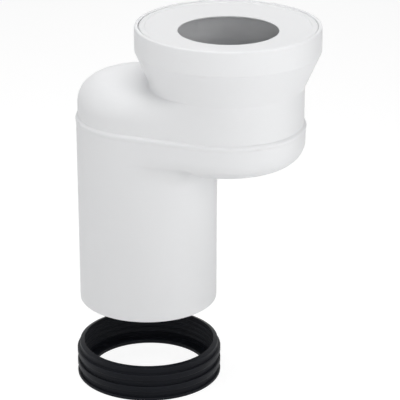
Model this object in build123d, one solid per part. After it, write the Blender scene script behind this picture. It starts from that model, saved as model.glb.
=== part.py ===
from build123d import *
import math
import os

os.makedirs("parts", exist_ok=True)

# Offset toilet pan connector. The origin is the centre of the drain spigot's
# lower end, +Z runs up the spigot's axis and +X points to the socket's axis.

# Drain spigot, a plain 110 mm pipe end that widens by its draft above the
# straight length
spigot_radius = 55.0
spigot_length = 60.0
spigot_draft = 0.2
wall = 3.2

# Offset chamber that joins the spigot to the socket
offset = 65.2
floor_height = 124.4
floor_round = 16.5
lower_wall = 13.1
upper_wall = 11.0
roof_round = 20.0
chamber_radius = 60.4
valley_round = 6.0

# Seam: the lower shell's beaded rim, and the upper shell's tongue inside it
shell_step = 1.3
bead_height = 3.4
bead_proud = 0.4
bead_round = 0.35
tongue_depth = 6.0
tongue_clearance = 0.15

# Cone and cup of the pan socket
cone_height = 27.4
cone_drop = 0.8
cup_radius = 71.4
cup_height = 20.0
cup_step = 0.5
cup_wall = 3.1
rim_round = 1.5
seat_depth = 18.6
seat_width = 3.0

# Pan seal, a soft white lip seal that sits in the cup
seal_clearance = 0.2
seal_sink = 1.0
seal_thickness = 3.0
face_fall = 3.9
face_step = 0.8
opening_radius = 38.5
throat_length = 4.6
lip_round = 1.2
lip_thickness = 2.2
bead_width = 4.2
skirt_length = 13.0
skirt_thickness = 3.0
skirt_gap = 0.3
fin_radius = 48.0
fin_thickness = 2.2
fin_fall = 5.0

# Drain seal, a black rubber ring that stretches over the spigot's end
ring_drop = 38.8
ring_height = 28.4
ring_radius = 58.4
ring_stretch = 0.6
ring_wall = 1.8
rib_count = 2
rib_drop = 6.1
rib_pitch = 9.95
rib_width = 5.0
rib_round = 1.3
foot_width = 2.5
mouth_radius = 52.6
mouth_depth = 4.4
mouth_edge = 1.2
mouth_slope = 1.2
lip_count = 4
lip_height = 1.2
lip_width = 2.2
groove_depth = 0.7
groove_width = 2.6
flange_radius = 46.4
flange_thickness = 3.0

pipe_radius = spigot_radius + spigot_draft
seam_height = floor_height + floor_round + lower_wall
roof_height = seam_height + upper_wall + roof_round
upper_chamber_radius = chamber_radius - shell_step
upper_pipe_radius = pipe_radius - shell_step
cone_base = roof_height - cone_drop
cup_base = cone_base + cone_height
rim_height = cup_base + cup_height
cup_bore = cup_radius - cup_wall
cup_shoulder = cup_radius - cup_step
seat_height = rim_height - seat_depth
seat_bore = cup_bore - seat_width
neck_bore = upper_chamber_radius - wall
cone_slope = (cup_shoulder - upper_chamber_radius) / cone_height


def egg(spigot_end, socket_end):
    """Plan of the chamber: an arc about each axis and their common tangents."""
    lean = math.degrees(math.acos((spigot_end - socket_end) / offset))
    near = CenterArc((0, 0), spigot_end, lean, 360 - 2 * lean)
    far = CenterArc((offset, 0), socket_end, -lean, 2 * lean)
    return make_face([near, Line(near @ 1, far @ 0), far, Line(far @ 1, near @ 0)])


def chamber(spigot_end, socket_end, low, high):
    """Straight block over the chamber's plan, from one height to another."""
    return extrude(Pos(0, 0, low) * egg(spigot_end, socket_end), high - low)


def floored_chamber(spigot_end, socket_end, low, high, rounding):
    """Chamber block whose lower edge is rounded into a bowl."""
    block = chamber(spigot_end, socket_end, low, high)
    return fillet(block.faces().sort_by(Axis.Z)[0].edges(), rounding)


def roofed_chamber(spigot_end, socket_end, low, high, rounding):
    """Chamber block whose upper edge is rounded into a shoulder."""
    block = chamber(spigot_end, socket_end, low, high)
    return fillet(block.faces().sort_by(Axis.Z)[-1].edges(), rounding)


def rounded_valley(roof, socket):
    """Roof and socket joined, with the level valley between them rounded."""
    whole = roof + socket
    valley = new_edges(roof, socket, combined=whole).filter_by(GeomType.CIRCLE)
    return fillet(valley, valley_round)


def cone_bore_height(radius):
    """Height at which the cone's bore reaches a radius."""
    return cone_base + (radius - neck_bore) / cone_slope


def turned(profile, axis_x=0.0):
    """Solid turned about the upright axis at axis_x from a half section."""
    section = make_face([edge.rotate(Axis.X, 90) for edge in profile.edges()])
    return Pos(axis_x, 0, 0) * revolve(section, Axis.Z)


def half_section(points):
    """Closed outline through (radius, height) points."""
    return make_face(Polyline(*points, close=True))


def socket_outside():
    """Neck, cone and cup as one turned body, without its bore."""
    section = half_section(
        [
            (0, seam_height),
            (upper_chamber_radius, seam_height),
            (upper_chamber_radius, cone_base),
            (cup_shoulder, cup_base),
            (cup_shoulder, cup_base + cup_step),
            (cup_radius, cup_base + 2 * cup_step),
            (cup_radius, rim_height),
            (0, rim_height),
        ]
    )
    top_corner = section.vertices().filter_by(lambda v: v.X > 1).sort_by(Axis.Y)[-1]
    section = fillet(top_corner, rim_round)
    return turned(section, offset)


def socket_inside():
    """Bore of the neck, cone and cup, with the seat for the pan seal."""
    section = half_section(
        [
            (0, seam_height),
            (neck_bore, seam_height),
            (neck_bore, cone_base),
            (seat_bore, cone_bore_height(seat_bore)),
            (seat_bore, seat_height),
            (cup_bore, seat_height),
            (cup_bore, rim_height + wall),
            (0, rim_height + wall),
        ]
    )
    return turned(section, offset)


def upper_shell():
    """Rounded roof of the chamber with the neck, cone and cup above it."""
    tongue_foot = seam_height - tongue_depth
    inset = wall + tongue_clearance
    roof = roofed_chamber(
        upper_pipe_radius, upper_chamber_radius, seam_height, roof_height, roof_round
    )
    outside = rounded_valley(roof, socket_outside())
    outside += chamber(pipe_radius - inset, chamber_radius - inset, tongue_foot, seam_height)
    inside = roofed_chamber(
        upper_pipe_radius - wall, neck_bore, tongue_foot, roof_height - wall, roof_round - wall
    )
    inside += socket_inside()
    return outside - inside


def spigot_body(inset):
    """Pipe from the spigot's end to the seam, with its surface set in by a distance."""
    return turned(
        half_section(
            [
                (0, 0),
                (spigot_radius - inset, 0),
                (spigot_radius - inset, spigot_length),
                (pipe_radius - inset, floor_height),
                (pipe_radius - inset, seam_height),
                (0, seam_height),
            ]
        )
    )


def lower_shell():
    """Bowl of the chamber with the beaded rim above and the spigot below."""
    bowl = floored_chamber(pipe_radius, chamber_radius, floor_height, seam_height, floor_round)
    outside = bowl + spigot_body(0)
    bead = chamber(
        pipe_radius + bead_proud,
        chamber_radius + bead_proud,
        seam_height - bead_height,
        seam_height,
    )
    bead = fillet(bead.edges().filter_by(Plane.XY), bead_round)
    outside += bead
    inside = floored_chamber(
        pipe_radius - wall,
        chamber_radius - wall,
        floor_height + wall,
        seam_height,
        floor_round - wall,
    )
    return outside - (inside + spigot_body(wall))


def pan_seal():
    """Soft seal: a dished face with a lip, a sleeve, a skirt and an inner fin."""
    outer = cup_bore - seal_clearance
    inner = outer - bead_width
    top = rim_height - seal_sink
    face_edge = top - face_step
    lip_top = face_edge - face_fall
    lip_foot = lip_top - throat_length
    skirt_outer = seat_bore - seal_clearance
    skirt_inner = skirt_outer - skirt_thickness
    skirt_bend = cone_bore_height(skirt_outer + skirt_gap)
    skirt_foot = seat_height - skirt_length
    foot_outer = skirt_outer - (skirt_bend - skirt_foot) * cone_slope
    foot_inner = foot_outer - skirt_thickness
    fin_root = skirt_foot + fin_thickness
    section = half_section(
        [
            (outer, seat_height),
            (outer, top),
            (inner, top),
            (inner - face_step, face_edge),
            (opening_radius, lip_top),
            (opening_radius, lip_foot),
            (opening_radius + lip_thickness, lip_foot),
            (opening_radius + 2 * lip_thickness, lip_top - seal_thickness),
            (skirt_inner, face_edge - seal_thickness),
            (skirt_inner, skirt_bend),
            (foot_inner, fin_root),
            (fin_radius, fin_root - fin_fall),
            (fin_radius, fin_root - fin_fall - fin_thickness),
            (foot_outer, skirt_foot),
            (skirt_outer, skirt_bend),
            (skirt_outer, seat_height),
        ]
    )
    lip_corners = section.vertices().filter_by(lambda v: abs(v.X - opening_radius) < 0.01)
    section = fillet(lip_corners, lip_round)
    return turned(section, offset)


def ring_bar(inner, outer, low, high):
    """Plain hoop about the spigot's axis."""
    return turned(half_section([(inner, low), (outer, low), (outer, high), (inner, high)]))


def outer_rib(root, crest, top, width):
    """Rounded rib that runs round the outside of the drain seal."""
    section = half_section([(root, top - width), (crest, top - width), (crest, top), (root, top)])
    corners = section.vertices().sort_by(Axis.X)[-2:]
    return turned(fillet(corners, min(rib_round, width / 3)))


def inner_lip(root, height, middle):
    """Pointed lip that runs round the inside of the drain seal."""
    half = lip_width / 2
    return turned(
        half_section([(root, middle - half), (root, middle + half), (root - height, middle)])
    )


def seal_sleeve(bore, crown, top, foot):
    """Thin sleeve whose top edge slopes in over the bore to a lipped mouth."""
    return turned(
        half_section(
            [
                (bore, foot),
                (crown, foot),
                (crown, top - mouth_slope),
                (mouth_radius, top),
                (mouth_radius, top - mouth_edge),
                (bore, top - mouth_depth),
            ]
        )
    )


def drain_seal():
    """Rubber ring: outer ribs, a lipped mouth, inner lips and a stop flange."""
    bore = spigot_radius - ring_stretch
    crown = bore + ring_wall
    root = bore + ring_wall / 2
    top = -ring_drop
    foot = top - ring_height
    ring = seal_sleeve(bore, crown, top, foot)
    for index in range(rib_count):
        ring += outer_rib(root, ring_radius, top - rib_drop - index * rib_pitch, rib_width)
    ring += outer_rib(root, ring_radius, foot + foot_width, foot_width)
    flange_top = foot + flange_thickness
    groove_top = flange_top + groove_width
    ring += ring_bar(flange_radius, root, foot, flange_top)
    ring -= ring_bar(flange_radius, bore + groove_depth, flange_top, groove_top)
    lip_space = (top - mouth_depth - groove_top) / lip_count
    for index in range(lip_count):
        ring += inner_lip(root, lip_height + root - bore, groove_top + (index + 0.5) * lip_space)
    return ring


for name, shape in {
    "upper_shell": upper_shell(),
    "lower_shell": lower_shell(),
    "pan_seal": pan_seal(),
    "drain_seal": drain_seal(),
}.items():
    export_step(shape, f"parts/{name}.step")
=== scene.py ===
"""Offset toilet pan connector: finished surfaces, materials, light and camera.

The shells and seals are worked out as grids of points. A shell is a profile
that turns about one of its two upright axes and follows the chamber's
egg-shaped plan where it leaves that axis.
"""

import bpy
import numpy as np
from bpy.props import FloatProperty, FloatVectorProperty, IntProperty, PointerProperty
from mathutils import Matrix, Vector


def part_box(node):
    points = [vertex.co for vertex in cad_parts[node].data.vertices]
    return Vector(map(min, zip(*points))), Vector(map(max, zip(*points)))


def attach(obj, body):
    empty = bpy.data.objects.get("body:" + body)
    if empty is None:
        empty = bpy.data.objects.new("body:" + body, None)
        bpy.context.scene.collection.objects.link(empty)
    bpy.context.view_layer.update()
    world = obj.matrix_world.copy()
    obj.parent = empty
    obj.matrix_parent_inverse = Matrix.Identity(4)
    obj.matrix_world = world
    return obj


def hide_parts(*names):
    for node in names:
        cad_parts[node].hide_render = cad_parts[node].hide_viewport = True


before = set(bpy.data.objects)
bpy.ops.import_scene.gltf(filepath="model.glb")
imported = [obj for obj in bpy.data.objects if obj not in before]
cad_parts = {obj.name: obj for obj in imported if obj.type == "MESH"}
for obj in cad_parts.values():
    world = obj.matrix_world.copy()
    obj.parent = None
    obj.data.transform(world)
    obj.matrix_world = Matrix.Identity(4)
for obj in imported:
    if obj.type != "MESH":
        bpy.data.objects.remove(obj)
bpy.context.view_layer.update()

bl_info = {
    "name": "Offset Pan Connector",
    "version": (1, 0, 0),
    "blender": (4, 5, 0),
    "location": "3D View > Sidebar > Pan Connector",
    "description": "Shells, seals, finishes and studio for an offset toilet pan connector",
    "category": "Object",
}

RIM_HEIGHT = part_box("upper_shell")[1].z
SEAM_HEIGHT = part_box("lower_shell")[1].z
RING_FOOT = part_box("drain_seal")[0].z
RING_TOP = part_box("drain_seal")[1].z
RING_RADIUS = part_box("drain_seal")[1].x
PICTURE_WIDTH = 400


def length(name, description, default):
    """A length in metres that a user may change."""
    return FloatProperty(
        name=name, description=description, default=default, min=0.0, precision=5, unit="LENGTH"
    )


def colour(name, description, default):
    """A linear colour that a user may change."""
    return FloatVectorProperty(
        name=name, description=description, default=default, size=3, min=0.0, max=1.0, subtype="COLOR"
    )


def power(name, description, default):
    """A lamp's power in watts that a user may change."""
    return FloatProperty(
        name=name, description=description, default=default, min=0.0, subtype="POWER"
    )


class ChamberSizes(bpy.types.PropertyGroup):
    """The offset chamber and the spigot below it."""

    wall: length("Wall", "Thickness of both shells", 0.0032)
    gap: length("Offset", "Distance between the spigot's and the socket's axes", 0.0652)
    spigot: length("Spigot radius", "Outer radius of the drain spigot", 0.055)
    straight: length("Spigot length", "Length of the spigot below its draft", 0.060)
    draft: length("Draft", "How far the spigot widens up to the chamber", 0.0002)
    far_end: length("Far end radius", "Outer radius of the chamber under the socket", 0.0604)
    step: length("Shell step", "How far the upper shell stands inside the lower one", 0.0013)
    floor: length("Floor height", "Underside of the chamber above the spigot's end", 0.1244)
    floor_round: length("Floor rounding", "Radius between the floor and the wall", 0.0165)
    roof: length("Roof height", "Top of the chamber above the spigot's end", 0.185)
    roof_round: length("Roof rounding", "Radius between the roof and the wall", 0.020)
    bead_height: length("Bead height", "Height of the bead below the seam", 0.0034)
    bead_proud: length("Bead depth", "How far the bead stands out", 0.0005)
    bead_lead: length("Bead lead-in", "Height over which the bead grows from the wall", 0.0006)
    bead_slope: length("Bead slope", "Half the height of the bead's sloping top", 0.0008)
    seam_slack: length("Seam clearance", "Clearance between the bead and the upper shell", 0.00005)
    tongue: length("Tongue", "Depth of the upper shell's tongue inside the lower one", 0.006)
    tongue_slack: length("Tongue clearance", "Clearance round the tongue", 0.00015)
    valley: length("Valley blend", "Reach of the soft valley between roof and cone", 0.0045)
    hollow: length("Hollow blend", "Reach of the soft hollow between floor and spigot", 0.016)
    inner_valley: length("Inner valley blend", "Reach of the blend from roof to bore inside", 0.001)
    inner_hollow: length("Inner hollow blend", "Reach of the blend from floor to bore inside", 0.002)


class SocketSizes(bpy.types.PropertyGroup):
    """The cone and cup of the pan socket."""

    cup: length("Cup radius", "Outer radius of the cup", 0.0714)
    cup_wall: length("Cup wall", "Thickness of the cup's wall", 0.0031)
    cup_step: length("Band step", "How far the band stands out from the cone", 0.0005)
    cone_height: length("Cone height", "Height of the cone below the cup", 0.0274)
    cone_drop: length("Cone drop", "How far the cone starts below the roof", 0.0008)
    seat_depth: length("Seat depth", "Depth of the seal's seat below the rim", 0.0186)
    seat_width: length("Seat width", "Width of the seal's seat", 0.003)


class PanSealSizes(bpy.types.PropertyGroup):
    """The soft seal in the cup."""

    slack: length("Clearance", "Clearance between the seal and the cup", 0.0002)
    sink: length("Sink", "How far the seal lies below the rim", 0.0005)
    bead: length("Bead width", "Width of the raised bead at the seal's edge", 0.0042)
    face_step: length("Face step", "Drop from the bead to the face", 0.0008)
    face_fall: length("Face fall", "How far the face falls to its opening", 0.0031)
    opening: length("Opening radius", "Radius of the opening", 0.0385)
    throat: length("Throat length", "Length of the lip round the opening", 0.0046)
    lip: length("Lip thickness", "Thickness of the lip", 0.0022)
    lip_edge: length("Lip edge", "Height of the lip's inner edge", 0.0009)
    face: length("Face thickness", "Thickness of the face", 0.003)
    skirt: length("Skirt length", "Length of the skirt below the seat", 0.013)
    skirt_wall: length("Skirt wall", "Thickness of the skirt", 0.003)
    skirt_gap: length("Skirt gap", "Clearance between the skirt and the cone", 0.0003)
    fin: length("Fin radius", "Inner radius of the fin", 0.048)
    fin_wall: length("Fin thickness", "Thickness of the fin", 0.0022)
    fin_fall: length("Fin fall", "How far the fin falls inwards", 0.005)
    shift: FloatVectorProperty(
        name="Shift",
        description="How far the seal sits off the cup's axis, so that its gap opens on one side",
        default=(0.00012, 0.00015, 0.0),
        subtype="TRANSLATION",
        unit="LENGTH",
    )


class DrainSealSizes(bpy.types.PropertyGroup):
    """The rubber ring below the spigot."""

    bore: length("Bore radius", "Inner radius of the sleeve", 0.0544)
    wall: length("Sleeve wall", "Thickness between the ribs", 0.0018)
    ribs: IntProperty(name="Ribs", description="Outer ribs above the foot", default=2, min=1, max=6)
    rib_drop: length("Rib drop", "Top of the first rib below the sleeve's top", 0.0061)
    rib_pitch: length("Rib pitch", "Distance between ribs", 0.00995)
    rib_width: length("Rib width", "Height of a rib", 0.005)
    foot: length("Foot", "Height of the rib at the foot", 0.0025)
    lips: IntProperty(name="Lips", description="Number of inner lips", default=4, min=1, max=6)
    lip_height: length("Lip height", "Height of an inner lip", 0.0009)
    lip_width: length("Lip width", "Width of an inner lip", 0.0022)
    mouth: length("Mouth radius", "Inner radius of the lip at the top", 0.0526)
    mouth_depth: length("Mouth depth", "Height of the lip below the top", 0.0044)
    mouth_edge: length("Mouth edge", "Height of the lip's inner edge", 0.0012)
    mouth_slope: length("Mouth slope", "Fall of the sleeve's top to its outer edge", 0.0012)
    groove: length("Groove depth", "Depth of the groove above the flange", 0.0007)
    groove_width: length("Groove width", "Height of the groove above the flange", 0.0026)
    flange: length("Flange radius", "Inner radius of the stop flange", 0.0464)
    flange_wall: length("Flange thickness", "Thickness of the stop flange", 0.003)


class Finishes(bpy.types.PropertyGroup):
    """Colours of the three materials."""

    plastic: colour("Plastic", "Satin white polypropylene", (0.80, 0.805, 0.815))
    soft_white: colour("Soft seal", "Matt white elastomer", (0.80, 0.803, 0.812))
    rubber: colour("Rubber", "Black rubber", (0.0082, 0.0092, 0.0122))


class StudioSettings(bpy.types.PropertyGroup):
    """Camera and lamps."""

    place: FloatVectorProperty(
        name="Camera place",
        description="Where the camera stands",
        default=(0.4227, -1.3347, 0.6389),
        subtype="TRANSLATION",
        unit="LENGTH",
    )
    heading: FloatProperty(
        name="Heading",
        description="Turn of the view to the left of the depth axis",
        default=np.radians(15.873),
        subtype="ANGLE",
    )
    pitch: FloatProperty(
        name="Pitch",
        description="Fall of the view below level",
        default=np.radians(21.716),
        subtype="ANGLE",
    )
    roll: FloatProperty(
        name="Roll", description="Turn about the view", default=np.radians(0.071), subtype="ANGLE"
    )
    focal: FloatProperty(
        name="Focal length", description="In pixels of the picture", default=1897.0, subtype="PIXEL"
    )
    over: power("Over", "Lamp above the part", 6.90)
    left: power("Left", "Large lamp on the left", 5.10)
    right: power("Right", "Large lamp on the right", 0.85)
    back: power("Back", "Large lamp behind the part", 1.80)
    near_right: power("Near right", "Small lamp near the part on the right", 0.62)
    high_right: power("High right", "Small lamp above the near right one", 0.50)
    low_right: power("Low right", "Small lamp by the floor on the right", 0.55)
    near_front: power("Near front", "Small lamp near the part in front", 0.98)
    near_left: power("Near left", "Small lamp near the part on the left", 0.36)
    sky: FloatProperty(
        name="Sky", description="Strength of the even light", default=0.03, subtype="FACTOR"
    )


class ConnectorSettings(bpy.types.PropertyGroup):
    """Everything that can be changed."""

    chamber: PointerProperty(type=ChamberSizes)
    socket: PointerProperty(type=SocketSizes)
    pan_seal: PointerProperty(type=PanSealSizes)
    drain_seal: PointerProperty(type=DrainSealSizes)
    finishes: PointerProperty(type=Finishes)
    studio: PointerProperty(type=StudioSettings)


# Surfaces

# Points round an axis, along a shelf's profile, along a blend and round a corner
TURN_STEPS = 256
SHELF_STEPS = 72
BLEND_STEPS = 24
CORNER_STEPS = 6
ANGLE = np.linspace(0, 2 * np.pi, TURN_STEPS, endpoint=False)[:, None]
# Steps that find the plan's edge, and the distance that they measure a slope over
NEWTON_STEPS = 12
PROBE = 1e-6
# Points that are nearer than this are taken as one
TOUCHING = 1e-7
# Share of a side that one corner may take
SIDE_SHARE = 0.45


def egg_depth(x, y, near, far, gap):
    """Depth inside the chamber's plan.

    The plan is the hull of a circle of radius near at the origin and one of
    radius far at x = gap. Beside the near centre the depth is near less the
    distance to it, beside the far centre the same for far, and in between it
    is measured square to the common tangent.
    """
    lean = (near - far) / gap
    rise = np.sqrt(1 - lean * lean)
    side = np.abs(y)
    along = rise * x - lean * side
    tangent = near - rise * side - lean * x
    beside_near = near - np.hypot(x, y)
    beside_far = far - np.hypot(x - gap, y)
    return np.where(along < 0, beside_near, np.where(along > rise * gap, beside_far, tangent))


def reach(depth, plan, centre):
    """Distance from the axis at x = centre to where the plan is that deep, for every angle.

    Along each ray the depth falls steadily outwards, so Newton steps with a
    measured slope find the distance for all rays at once.
    """
    across, along = np.cos(ANGLE), np.sin(ANGLE)
    distance = np.full(np.broadcast(ANGLE, depth).shape, plan[0] + plan[1])
    for _ in range(NEWTON_STEPS):
        further = distance + PROBE
        here = egg_depth(centre + distance * across, distance * along, *plan)
        ahead = egg_depth(centre + further * across, further * along, *plan)
        distance = distance - (here - depth) * PROBE / (ahead - here)
    return distance


def around(centre, distance, height):
    """Points at a distance from the axis at x = centre, for every angle about it."""
    x = centre + distance * np.cos(ANGLE)
    return np.stack([x, distance * np.sin(ANGLE), np.broadcast_to(height, x.shape)], axis=-1)


def bend(start, middle, stop, t):
    """Quadratic curve from start to stop, pulled towards middle, at each share t of the way."""
    return (1 - t) ** 2 * start + 2 * t * (1 - t) * middle + t**2 * stop


def soft_outline(corners, closed=True):
    """Outline through rounded corners, each given as (across, height, setback).

    A corner is cut back along both of its sides by its setback, or by a share
    of the shorter side where that is less, and a quadratic curve joins the
    two cuts. An open outline keeps its end corners, and of points that
    coincide one is kept.
    """
    corners, setback = np.split(np.asarray(corners, float), [2], axis=1)
    before = np.roll(corners, 1, 0) - corners
    after = np.roll(corners, -1, 0) - corners
    before_size = np.linalg.norm(before, axis=1)[:, None]
    after_size = np.linalg.norm(after, axis=1)[:, None]
    cut = np.minimum(setback, SIDE_SHARE * np.minimum(before_size, after_size))
    start = corners + before * (cut / before_size)
    stop = corners + after * (cut / after_size)
    t = np.linspace(0, 1, CORNER_STEPS)[None, :, None]
    curve = bend(start[:, None], corners[:, None], stop[:, None], t)
    if not closed:
        curve[0] = corners[0]
        curve[-1] = corners[-1]
    outline = curve.reshape(-1, 2)
    steps = np.linalg.norm(np.diff(outline, axis=0), axis=1)
    return outline[np.concatenate([[True], steps > TOUCHING])]


def spaced(outline, longest, closed=False):
    """Outline with its long sides divided, so that no step is over longest."""
    if closed:
        outline = np.concatenate([outline, outline[:1]])
    steps = np.linalg.norm(np.diff(outline, axis=0), axis=1)
    counts = np.maximum(1, np.ceil(steps / longest)).astype(int)
    starts = np.repeat(np.arange(len(steps)), counts)
    offsets = np.arange(counts.sum()) - np.repeat(np.cumsum(counts) - counts, counts)
    share = (offsets / counts[starts])[:, None]
    points = outline[starts] * (1 - share) + outline[starts + 1] * share
    return points if closed else np.concatenate([points, outline[-1:]])


def turned_grid(outline, centre):
    """Outline of (radius, height) points turned about the axis at x = centre."""
    return around(centre, outline[None, :, 0], outline[None, :, 1])


def plan_band(plan, centre, outline):
    """Outline of (depth, height) points carried round the chamber's plan."""
    outline = np.asarray(outline, float)
    return around(centre, reach(outline[None, :, 0], plan, centre), outline[None, :, 1])


def shelf_grid(plan, centre, barrel, foot, level, rounding, blend, end, flare=(0.0, 0.0)):
    """Chamber wall, rounded edge, level shelf and barrel, for every angle about an axis.

    plan holds the egg's two radii and their gap. The barrel is the tube about
    the axis at x = centre. foot, level and end are the heights where the wall
    starts, of the shelf and where the barrel stops. Climb is the height past
    the shelf, in the barrel's direction, so it is negative on the wall.

    A place s on a profile runs up the wall (depth 0, climb s - rise - r),
    round the edge at an angle t (depth w(1 - cos t), climb r(sin t - 1)) and
    level in to the barrel. r is the rounding, and w is r or what room the
    barrel leaves, so that the edge always ends on the barrel's foot circle.
    The corner with the barrel is then drawn as one quadratic curve that
    reaches blend to either side, and the rest climbs along the barrel, whose
    radius grows by flare[1] for each metre of climb past flare[0].
    """
    room = egg_depth(centre + barrel * np.cos(ANGLE), barrel * np.sin(ANGLE), *plan)
    room = np.clip(room, 0.0, None)
    width = np.minimum(room, rounding)
    rise = abs(level - foot) - rounding
    arc = rounding * np.pi / 2
    ledge = reach(width, plan, centre) - barrel
    corner = rise + arc + np.where(room > rounding, ledge, 0.0)

    def shelf(s):
        """(distance, climb) at a place s before the corner."""
        turn = np.clip(s - rise, 0.0, arc) / rounding
        distance = reach(width * (1 - np.cos(turn)), plan, centre)
        distance = distance - np.clip(s - rise - arc, 0.0, None)
        return np.stack([distance, rounding * (np.sin(turn) - 1) - np.clip(rise - s, 0.0, None)])

    def tube(climb):
        """(distance, climb) on the barrel."""
        climb = np.broadcast_to(climb, (TURN_STEPS, climb.shape[1]))
        return np.stack([barrel + flare[1] * np.clip(climb - flare[0], 0.0, None), climb])

    share = np.linspace(0, 1, SHELF_STEPS)[None, :]
    before = shelf(share * (corner - blend))
    t = np.linspace(0, 1, BLEND_STEPS)[None, 1:]
    foot_circle = np.array([barrel, 0.0])[:, None, None]
    curve = bend(shelf(corner - blend), foot_circle, tube(np.full((1, 1), blend)), t)
    after = tube(blend + (abs(end - level) - blend) * t)
    distance, climb = np.concatenate([before, curve, after], axis=2)
    return around(centre, distance, level + np.sign(level - foot) * climb)


def closed_mesh(name, grid):
    """Mesh of a grid that closes on itself both ways, with its faces outwards.

    The enclosed volume is the sum of each corner's place times its face's
    normal, and a negative one means that the faces point inwards.
    """
    rows, columns = grid.shape[:2]
    index = np.arange(rows * columns).reshape(rows, columns)
    across = np.roll(index, -1, 0)
    faces = np.stack(
        [index, across, np.roll(across, -1, 1), np.roll(index, -1, 1)], axis=-1
    ).reshape(-1, 4)
    points = grid.reshape(-1, 3)
    a, b, c, d = (points[faces[:, k]] for k in range(4))
    normal = np.cross(c - a, d - b)
    if np.einsum("ij,ij->", (a + b + c + d) / 4, normal) < 0:
        faces = faces[:, ::-1]
    mesh = bpy.data.meshes.new(name)
    mesh.vertices.add(len(points))
    mesh.vertices.foreach_set("co", points.astype(np.float32).ravel())
    mesh.loops.add(faces.size)
    mesh.loops.foreach_set("vertex_index", faces.astype(np.int32).ravel())
    mesh.polygons.add(len(faces))
    mesh.polygons.foreach_set("loop_start", np.arange(0, faces.size, 4, dtype=np.int32))
    mesh.polygons.foreach_set("use_smooth", np.ones(len(faces), bool))
    mesh.update(calc_edges=True)
    mesh.validate()
    return mesh


def finished_piece(name, grid, material, node):
    """Object for a piece that stands for a CAD node and rides on the one body."""
    piece = bpy.data.objects.new(name, closed_mesh(name, grid))
    bpy.context.scene.collection.objects.link(piece)
    piece.data.materials.append(material)
    weigh = piece.modifiers.new("Flat faces lead", "WEIGHTED_NORMAL")
    weigh.mode = "FACE_AREA"
    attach(piece, "root")
    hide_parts(node)
    return piece


# Materials

# Range that most of a noise pattern keeps to
NOISE_LOW = 0.3
NOISE_HIGH = 0.7


def node_material(name):
    """Empty node material with its shader and its output."""
    material = bpy.data.materials.new(name)
    material.use_nodes = True
    nodes = material.node_tree.nodes
    nodes.clear()
    output = nodes.new("ShaderNodeOutputMaterial")
    shader = nodes.new("ShaderNodeBsdfPrincipled")
    material.node_tree.links.new(shader.outputs["BSDF"], output.inputs["Surface"])
    return material, shader


def object_noise(material, scale, detail):
    """Noise on the piece's own coordinates, with a scale in features per metre."""
    tree = material.node_tree
    place = tree.nodes.new("ShaderNodeTexCoord")
    noise = tree.nodes.new("ShaderNodeTexNoise")
    noise.inputs["Scale"].default_value = scale
    noise.inputs["Detail"].default_value = detail
    tree.links.new(place.outputs["Object"], noise.inputs["Vector"])
    return noise.outputs["Fac"]


def ranged(material, value, low, high):
    """A noise value spread over a range."""
    tree = material.node_tree
    spread = tree.nodes.new("ShaderNodeMapRange")
    spread.inputs["From Min"].default_value = NOISE_LOW
    spread.inputs["From Max"].default_value = NOISE_HIGH
    spread.inputs["To Min"].default_value = low
    spread.inputs["To Max"].default_value = high
    tree.links.new(value, spread.inputs["Value"])
    return spread.outputs["Result"]


def tinted(material, value, colour_value, spread):
    """The colour, made a little lighter and darker by a noise value."""
    tree = material.node_tree
    mix = tree.nodes.new("ShaderNodeMix")
    mix.data_type = "RGBA"
    tree.links.new(value, mix.inputs["Factor"])
    mix.inputs["A"].default_value = (*[c * (1 - spread) for c in colour_value], 1)
    mix.inputs["B"].default_value = (*[min(1, c * (1 + spread)) for c in colour_value], 1)
    return mix.outputs["Result"]


def grained(material, shader, value, depth, strength):
    """Bump of a given depth in metres on the shader's normal."""
    tree = material.node_tree
    bump = tree.nodes.new("ShaderNodeBump")
    bump.inputs["Distance"].default_value = depth
    bump.inputs["Strength"].default_value = strength
    tree.links.new(value, bump.inputs["Height"])
    tree.links.new(bump.outputs["Normal"], shader.inputs["Normal"])


def moulded_plastic(settings):
    """Satin white polypropylene: faint flow marks and a fine moulded grain."""
    material, shader = node_material("satin_white_plastic")
    tree = material.node_tree
    flow = object_noise(material, scale=14.0, detail=3.0)
    grain = object_noise(material, scale=900.0, detail=2.0)
    paint = tinted(material, flow, settings.plastic, spread=0.008)
    tree.links.new(paint, shader.inputs["Base Color"])
    tree.links.new(ranged(material, flow, low=0.42, high=0.48), shader.inputs["Roughness"])
    shader.inputs["Specular IOR Level"].default_value = 0.2
    grained(material, shader, grain, depth=0.00005, strength=0.12)
    return material


def soft_elastomer(settings):
    """Matt white elastomer of the pan seal, softer and rougher than the shells."""
    material, shader = node_material("matt_white_elastomer")
    tree = material.node_tree
    cloud = object_noise(material, scale=30.0, detail=3.0)
    grain = object_noise(material, scale=1400.0, detail=2.0)
    paint = tinted(material, cloud, settings.soft_white, spread=0.01)
    tree.links.new(paint, shader.inputs["Base Color"])
    tree.links.new(ranged(material, cloud, low=0.5, high=0.58), shader.inputs["Roughness"])
    shader.inputs["Specular IOR Level"].default_value = 0.2
    grained(material, shader, grain, depth=0.00006, strength=0.15)
    return material


def black_rubber(settings):
    """Matt black rubber of the drain seal, with a patchy grey bloom."""
    material, shader = node_material("matt_black_rubber")
    tree = material.node_tree
    bloom = object_noise(material, scale=60.0, detail=4.0)
    grain = object_noise(material, scale=1600.0, detail=2.0)
    paint = tinted(material, bloom, settings.rubber, spread=0.25)
    tree.links.new(paint, shader.inputs["Base Color"])
    tree.links.new(ranged(material, bloom, low=0.40, high=0.52), shader.inputs["Roughness"])
    shader.inputs["Specular IOR Level"].default_value = 0.09
    grained(material, shader, grain, depth=0.00008, strength=0.2)
    return material


def shared_material(name, maker):
    """The named material, made the first time that it is asked for."""
    found = bpy.data.materials.get(name)
    return found or maker(bpy.context.scene.pan_connector.finishes)


# Pieces

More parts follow.
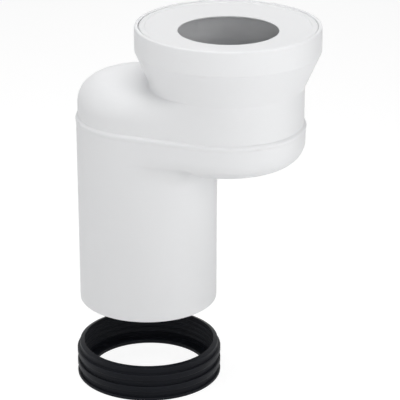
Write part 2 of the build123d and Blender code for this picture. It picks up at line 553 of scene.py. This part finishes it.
# Space between the end of a shelf grid and the turned outline that goes on from it
CONE_SPACE = 0.002
SPIGOT_SPACE = 0.001
# Height that a shelf grid's barrel runs on past its corner blend
BARREL_RUN = 0.004
BORE_RUN = 0.0005
# Width of the pan seal's lip where it joins the face, in lip thicknesses
LIP_SPREAD = 3


def cone_slope(chamber, socket):
    """Growth of the cone's radius for each metre of climb, from the neck to the cup."""
    neck = chamber.far_end - chamber.step
    return (socket.cup - socket.cup_step - neck) / socket.cone_height


class CONNECTOR_OT_upper_shell(bpy.types.Operator):
    """Make the chamber's roof with the neck, cone and cup"""

    bl_idname = "connector.upper_shell"
    bl_label = "Upper Shell"

    def execute(self, context):
        settings = context.scene.pan_connector
        chamber, socket = settings.chamber, settings.socket
        gap, wall = chamber.gap, chamber.wall
        pipe = chamber.spigot + chamber.draft
        plan = (pipe - chamber.step, chamber.far_end - chamber.step, gap)
        inner_plan = (plan[0] - wall, plan[1] - wall, gap)
        tongue_in = wall + chamber.tongue_slack
        tongue_plan = (pipe - tongue_in, chamber.far_end - tongue_in, gap)
        half_way = chamber.roof + socket.cone_height / 2
        outside = shelf_grid(
            plan,
            gap,
            barrel=plan[1],
            foot=SEAM_HEIGHT,
            level=chamber.roof,
            rounding=chamber.roof_round,
            blend=chamber.valley,
            end=half_way,
            flare=(-socket.cone_drop, cone_slope(chamber, socket)),
        )
        inside = shelf_grid(
            inner_plan,
            gap,
            barrel=inner_plan[1],
            foot=SEAM_HEIGHT - chamber.tongue,
            level=chamber.roof - wall,
            rounding=chamber.roof_round - wall,
            blend=chamber.inner_valley,
            end=chamber.roof - wall + chamber.inner_valley + BORE_RUN,
        )
        tongue = [(0.0, SEAM_HEIGHT - chamber.tongue), (0.0, SEAM_HEIGHT)]
        cup = self.socket_outline(chamber, socket, half_way + CONE_SPACE)
        grid = np.concatenate(
            [
                outside,
                turned_grid(cup, gap),
                inside[:, ::-1],
                plan_band(tongue_plan, gap, tongue),
            ],
            axis=1,
        )
        material = shared_material("satin_white_plastic", moulded_plastic)
        finished_piece("upper_shell_finish", grid, material, "upper_shell")
        return {"FINISHED"}

    @staticmethod
    def socket_outline(chamber, socket, start):
        """Half section of the cone, cup, rim, seat and bore, from outside to inside."""
        neck = chamber.far_end - chamber.step
        bore = neck - chamber.wall
        slope = cone_slope(chamber, socket)
        cone_base = chamber.roof - socket.cone_drop
        cup_base = cone_base + socket.cone_height
        shoulder = socket.cup - socket.cup_step
        cup_bore = socket.cup - socket.cup_wall
        seat_bore = cup_bore - socket.seat_width
        seat = RIM_HEIGHT - socket.seat_depth
        corners = [
            (neck + slope * (start - cone_base), start, 0),
            (shoulder, cup_base, 0.002),
            (shoulder, cup_base + socket.cup_step, 0.0003),
            (socket.cup, cup_base + 2 * socket.cup_step, 0.0004),
            (socket.cup, RIM_HEIGHT, 0.0016),
            (cup_bore, RIM_HEIGHT, 0.0012),
            (cup_bore, seat, 0.0003),
            (seat_bore, seat, 0.0005),
            (seat_bore, cone_base + (seat_bore - bore) / slope, 0.002),
            (bore, cone_base, 0),
        ]
        return spaced(soft_outline(corners, closed=False), longest=0.004)


class CONNECTOR_OT_lower_shell(bpy.types.Operator):
    """Make the chamber's bowl with the beaded rim and the drain spigot"""

    bl_idname = "connector.lower_shell"
    bl_label = "Lower Shell"

    def execute(self, context):
        chamber = context.scene.pan_connector.chamber
        gap, wall = chamber.gap, chamber.wall
        pipe = chamber.spigot + chamber.draft
        plan = (pipe, chamber.far_end, gap)
        inner_plan = (pipe - wall, plan[1] - wall, gap)
        bead_foot = SEAM_HEIGHT - chamber.bead_height
        taper_top = chamber.floor - chamber.hollow - BARREL_RUN
        outside = shelf_grid(
            plan,
            0.0,
            barrel=plan[0],
            foot=bead_foot,
            level=chamber.floor,
            rounding=chamber.floor_round,
            blend=chamber.hollow,
            end=taper_top,
        )
        inside = shelf_grid(
            inner_plan,
            0.0,
            barrel=inner_plan[0],
            foot=SEAM_HEIGHT,
            level=chamber.floor + wall,
            rounding=chamber.floor_round - wall,
            blend=chamber.inner_hollow,
            end=taper_top,
        )
        bead = self.bead_outline(chamber, bead_foot)
        grid = np.concatenate(
            [
                outside[:, ::-1],
                plan_band(plan, 0.0, bead[1:]),
                inside,
                turned_grid(self.spigot_outline(chamber, taper_top), 0.0),
            ],
            axis=1,
        )
        material = shared_material("satin_white_plastic", moulded_plastic)
        finished_piece("lower_shell_finish", grid, material, "lower_shell")
        return {"FINISHED"}

    @staticmethod
    def bead_outline(chamber, bead_foot):
        """Depth and height of the bead, its sloping top and the shell's upper edge."""
        proud = -chamber.bead_proud
        ledge = chamber.step - chamber.seam_slack
        corners = [
            (0, bead_foot, 0),
            (proud, bead_foot + chamber.bead_lead, 0.0006),
            (proud, SEAM_HEIGHT - chamber.bead_slope, 0.0008),
            (ledge, SEAM_HEIGHT + chamber.bead_slope, 0.0002),
            (ledge, SEAM_HEIGHT, 0),
            (chamber.wall / 2, SEAM_HEIGHT, 0),
        ]
        return soft_outline(corners, closed=False)

    @staticmethod
    def spigot_outline(chamber, taper_top):
        """Half section of the spigot: down its bore, round its end and up its outside."""
        inner = chamber.spigot - chamber.wall
        share = (taper_top - chamber.straight) / (chamber.floor - chamber.straight)
        wider = chamber.draft * share
        start = taper_top - SPIGOT_SPACE
        corners = [
            (inner + wider, start, 0),
            (inner, chamber.straight, 0.004),
            (inner, 0, 0.0004),
            (chamber.spigot, 0, 0.0009),
            (chamber.spigot, chamber.straight, 0.004),
            (chamber.spigot + wider, start, 0),
        ]
        return spaced(soft_outline(corners, closed=False), longest=0.005)


class CONNECTOR_OT_pan_seal(bpy.types.Operator):
    """Make the soft seal in the cup"""

    bl_idname = "connector.pan_seal"
    bl_label = "Pan Seal"

    def execute(self, context):
        settings = context.scene.pan_connector
        chamber, socket, seal = settings.chamber, settings.socket, settings.pan_seal
        bore = chamber.far_end - chamber.step - chamber.wall
        cone_base = chamber.roof - socket.cone_drop
        slope = cone_slope(chamber, socket)
        cup_bore = socket.cup - socket.cup_wall
        seat = RIM_HEIGHT - socket.seat_depth
        outer = cup_bore - seal.slack
        inner = outer - seal.bead
        top = RIM_HEIGHT - seal.sink
        edge = top - seal.face_step
        lip_top = edge - seal.face_fall
        lip_foot = lip_top - seal.throat
        skirt = cup_bore - socket.seat_width - seal.slack
        skirt_in = skirt - seal.skirt_wall
        knee = cone_base + (skirt + seal.skirt_gap - bore) / slope
        foot = seat - seal.skirt
        foot_out = skirt - (knee - foot) * slope
        foot_in = foot_out - seal.skirt_wall
        root = foot + seal.fin_wall
        corners = [
            (outer, seat, 0.0004),
            (outer, top, 0.0013),
            (inner, top, 0.0005),
            (inner - seal.face_step, edge, 0.0005),
            (seal.opening, lip_top, 0.0007),
            (seal.opening, lip_top - seal.lip_edge, 0.0004),
            (seal.opening + seal.lip, lip_foot + seal.lip, 0.0008),
            (seal.opening + LIP_SPREAD * seal.lip, lip_top - seal.face, 0.0015),
            (skirt_in, edge - seal.face, 0.003),
            (skirt_in, knee, 0.003),
            (foot_in, root, 0.002),
            (seal.fin, root - seal.fin_fall, 0.0008),
            (seal.fin, root - seal.fin_fall - seal.fin_wall, 0.0008),
            (foot_out, foot, 0.002),
            (skirt, knee, 0.002),
            (skirt, seat, 0.0004),
        ]
        outline = spaced(soft_outline(corners), longest=0.004, closed=True)
        material = shared_material("matt_white_elastomer", soft_elastomer)
        grid = turned_grid(outline, chamber.gap) + np.array(seal.shift)
        finished_piece("pan_seal_finish", grid, material, "pan_seal")
        return {"FINISHED"}


class CONNECTOR_OT_drain_seal(bpy.types.Operator):
    """Make the ribbed rubber ring below the spigot"""

    bl_idname = "connector.drain_seal"
    bl_label = "Drain Seal"

    def execute(self, context):
        seal = context.scene.pan_connector.drain_seal
        corners = np.concatenate([self.ribbed_side(seal), self.lipped_side(seal)])
        outline = spaced(soft_outline(corners), longest=0.003, closed=True)
        material = shared_material("matt_black_rubber", black_rubber)
        grid = turned_grid(outline, 0.0)
        finished_piece("drain_seal_finish", grid, material, "drain_seal")
        return {"FINISHED"}

    @staticmethod
    def ribbed_side(seal):
        """Corners of the outer side, upwards: a rib is four corners, root to root."""
        root = seal.bore + seal.wall
        foot = [
            (RING_RADIUS, RING_FOOT, 0.0008),
            (RING_RADIUS, RING_FOOT + seal.foot, 0.0009),
            (root, RING_FOOT + seal.foot, 0.0003),
        ]
        rib = np.array(
            [
                (root, -seal.rib_width, 0.0003),
                (RING_RADIUS, -seal.rib_width, 0.0016),
                (RING_RADIUS, 0, 0.0013),
                (root, 0, 0.0003),
            ]
        )
        tops = RING_TOP - seal.rib_drop - np.arange(seal.ribs)[::-1] * seal.rib_pitch
        ribs = [rib + (0, top, 0) for top in tops]
        return np.concatenate([foot, *ribs, [(root, RING_TOP - seal.mouth_slope, 0.0006)]])

    @staticmethod
    def lipped_side(seal):
        """Corners of the inner side, downwards: mouth, lips, groove and flange."""
        bore = seal.bore
        flange_top = RING_FOOT + seal.flange_wall
        groove_top = flange_top + seal.groove_width
        mouth_foot = RING_TOP - seal.mouth_depth
        half = seal.lip_width / 2
        mouth = [
            (seal.mouth, RING_TOP, 0.0005),
            (seal.mouth, RING_TOP - seal.mouth_edge, 0.0005),
            (bore, mouth_foot, 0.0006),
        ]
        lip = np.array(
            [(bore, half, 0.0003), (bore - seal.lip_height, 0, 0.0003), (bore, -half, 0.0003)]
        )
        pitch = (mouth_foot - groove_top) / seal.lips
        middles = mouth_foot - (np.arange(seal.lips) + 0.5) * pitch
        lips = [lip + (0, middle, 0) for middle in middles]
        base = [
            (bore, groove_top, 0.0002),
            (bore + seal.groove, groove_top, 0.0003),
            (bore + seal.groove, flange_top, 0.0003),
            (seal.flange, flange_top, 0.0008),
            (seal.flange, RING_FOOT, 0.0006),
        ]
        return np.concatenate([mouth, *lips, base])


# Studio

FLOOR_HALF = 4.0
# Greys of the floor: as it lights the part, as it is seen, and its glow where it is seen
FLOOR_BOUNCE = 0.82
FLOOR_PAINT = 0.28
FLOOR_GLOW = 0.86
LAMP_AIM = (0.03, 0.0, 0.1)
# Place and size of each lamp. Its power is the studio setting of the same name.
LAMPS = {
    "over": ((0.0, 0.0, 1.1), 0.8),
    "left": ((-1.127, -0.425, 0.2), 0.8),
    "right": ((1.181, 0.233, 0.2), 0.8),
    "back": ((-0.329, 1.154, 0.8), 0.8),
    "near_right": ((0.519, -0.289, 0.26), 0.3),
    "high_right": ((0.577, -0.2, 0.45), 0.3),
    "low_right": ((0.618, 0.02, 0.0), 0.25),
    "near_front": ((0.199, -0.515, 0.33), 0.3),
    "near_left": ((-0.289, -0.519, 0.26), 0.3),
}


class CONNECTOR_OT_studio(bpy.types.Operator):
    """Make the floor, the lamps, the sky and the camera"""

    bl_idname = "connector.studio"
    bl_label = "Studio"

    def execute(self, context):
        studio = context.scene.pan_connector.studio
        make_floor()
        for name, (place, size) in LAMPS.items():
            make_lamp(f"{name}_lamp", place, size, getattr(studio, name))
        make_sky(context.scene, studio)
        make_camera(context.scene, studio)
        context.scene.view_settings.view_transform = "Standard"
        return {"FINISHED"}


def make_floor():
    """Pale floor that takes the shadow.

    Camera, mirror and glass rays see it near white: part of that white is
    glow, so that the floor stays plain where the lamps fall off.
    """
    mesh = bpy.data.meshes.new("studio_floor")
    corners = [(-1, -1), (1, -1), (1, 1), (-1, 1)]
    points = [(x * FLOOR_HALF, y * FLOOR_HALF, RING_FOOT) for x, y in corners]
    mesh.from_pydata(points, [], [(0, 1, 2, 3)])
    floor = bpy.data.objects.new("studio_floor", mesh)
    bpy.context.scene.collection.objects.link(floor)
    material, shader = node_material("studio_floor")
    tree = material.node_tree
    shader.inputs["Roughness"].default_value = 1.0
    shader.inputs["Specular IOR Level"].default_value = 0.0
    shader.inputs["Emission Color"].default_value = (1, 1, 1, 1)
    seen = seen_rays(tree)
    paint = tree.nodes.new("ShaderNodeMix")
    paint.data_type = "RGBA"
    paint.inputs["A"].default_value = (*[FLOOR_BOUNCE] * 3, 1)
    paint.inputs["B"].default_value = (*[FLOOR_PAINT] * 3, 1)
    tree.links.new(seen, paint.inputs["Factor"])
    tree.links.new(paint.outputs["Result"], shader.inputs["Base Color"])
    glow = tree.nodes.new("ShaderNodeMath")
    glow.operation = "MULTIPLY"
    glow.inputs[1].default_value = FLOOR_GLOW
    tree.links.new(seen, glow.inputs[0])
    tree.links.new(glow.outputs["Value"], shader.inputs["Emission Strength"])
    mesh.materials.append(material)


def seen_rays(tree):
    """One for camera, glossy and transmission rays, and nought for all others."""
    paths = tree.nodes.new("ShaderNodeLightPath")
    total = paths.outputs["Is Camera Ray"]
    for kind in ("Is Glossy Ray", "Is Transmission Ray"):
        either = tree.nodes.new("ShaderNodeMath")
        either.operation = "MAXIMUM"
        tree.links.new(total, either.inputs[0])
        tree.links.new(paths.outputs[kind], either.inputs[1])
        total = either.outputs["Value"]
    return total


def make_lamp(name, place, size, watts):
    """Square area lamp, unseen itself, that faces the part."""
    data = bpy.data.lights.new(name, "AREA")
    data.shape = "SQUARE"
    data.size = size
    data.energy = watts
    lamp = bpy.data.objects.new(name, data)
    bpy.context.scene.collection.objects.link(lamp)
    lamp.location = place
    lamp.rotation_mode = "QUATERNION"
    aim = Vector(LAMP_AIM) - Vector(place)
    lamp.rotation_quaternion = aim.to_track_quat("-Z", "Y")
    lamp.visible_camera = False


def make_sky(scene, studio):
    """Even sky that camera, mirror and glass rays see as white."""
    world = scene.world or bpy.data.worlds.new("studio_sky")
    scene.world = world
    world.use_nodes = True
    tree = world.node_tree
    tree.nodes.clear()
    output = tree.nodes.new("ShaderNodeOutputWorld")
    background = tree.nodes.new("ShaderNodeBackground")
    strength = tree.nodes.new("ShaderNodeMapRange")
    strength.inputs["To Min"].default_value = studio.sky
    strength.inputs["To Max"].default_value = 1.0
    tree.links.new(seen_rays(tree), strength.inputs["Value"])
    tree.links.new(strength.outputs["Result"], background.inputs["Strength"])
    background.inputs["Color"].default_value = (1, 1, 1, 1)
    tree.links.new(background.outputs["Background"], output.inputs["Surface"])


def make_camera(scene, studio):
    """Camera at the photograph's angle.

    Its forward axis is level at the heading, then falls by the pitch, and its
    side axis turns about the forward axis by the roll.
    """
    heading, pitch, roll = studio.heading, studio.pitch, studio.roll
    level = np.array([-np.sin(heading), np.cos(heading), 0.0])
    forward = level * np.cos(pitch) - np.array([0.0, 0.0, np.sin(pitch)])
    side = np.array([np.cos(heading), np.sin(heading), 0.0])
    up = np.cross(side, forward)
    right = side * np.cos(roll) + up * np.sin(roll)
    above = -side * np.sin(roll) + up * np.cos(roll)
    data = bpy.data.cameras.new("studio_camera")
    data.sensor_width = 36.0
    data.lens = studio.focal * data.sensor_width / PICTURE_WIDTH
    camera = bpy.data.objects.new("studio_camera", data)
    scene.collection.objects.link(camera)
    turn = Matrix(np.stack([right, above, -forward], axis=1).tolist()).to_4x4()
    camera.matrix_world = Matrix.Translation(studio.place) @ turn
    scene.camera = camera


class CONNECTOR_PT_panel(bpy.types.Panel):
    """Lists the pieces and the stage"""

    bl_idname = "CONNECTOR_PT_panel"
    bl_label = "Pan Connector"
    bl_space_type = "VIEW_3D"
    bl_region_type = "UI"
    bl_category = "Pan Connector"

    def draw(self, context):
        for operator in PIECE_OPERATORS:
            self.layout.operator(operator.bl_idname)
        self.layout.operator(CONNECTOR_OT_studio.bl_idname)


PIECE_OPERATORS = (
    CONNECTOR_OT_lower_shell,
    CONNECTOR_OT_upper_shell,
    CONNECTOR_OT_pan_seal,
    CONNECTOR_OT_drain_seal,
)
CLASSES = (
    ChamberSizes,
    SocketSizes,
    PanSealSizes,
    DrainSealSizes,
    Finishes,
    StudioSettings,
    ConnectorSettings,
    *PIECE_OPERATORS,
    CONNECTOR_OT_studio,
    CONNECTOR_PT_panel,
)


def register():
    """Register the classes and hang the settings on the scene."""
    for cls in CLASSES:
        bpy.utils.register_class(cls)
    bpy.types.Scene.pan_connector = PointerProperty(type=ConnectorSettings)


def unregister():
    """Undo register."""
    del bpy.types.Scene.pan_connector
    for cls in reversed(CLASSES):
        bpy.utils.unregister_class(cls)


def main():
    """Build every piece and the studio."""
    register()
    bpy.ops.connector.lower_shell()
    bpy.ops.connector.upper_shell()
    bpy.ops.connector.pan_seal()
    bpy.ops.connector.drain_seal()
    bpy.ops.connector.studio()


if __name__ == "__main__":
    main()
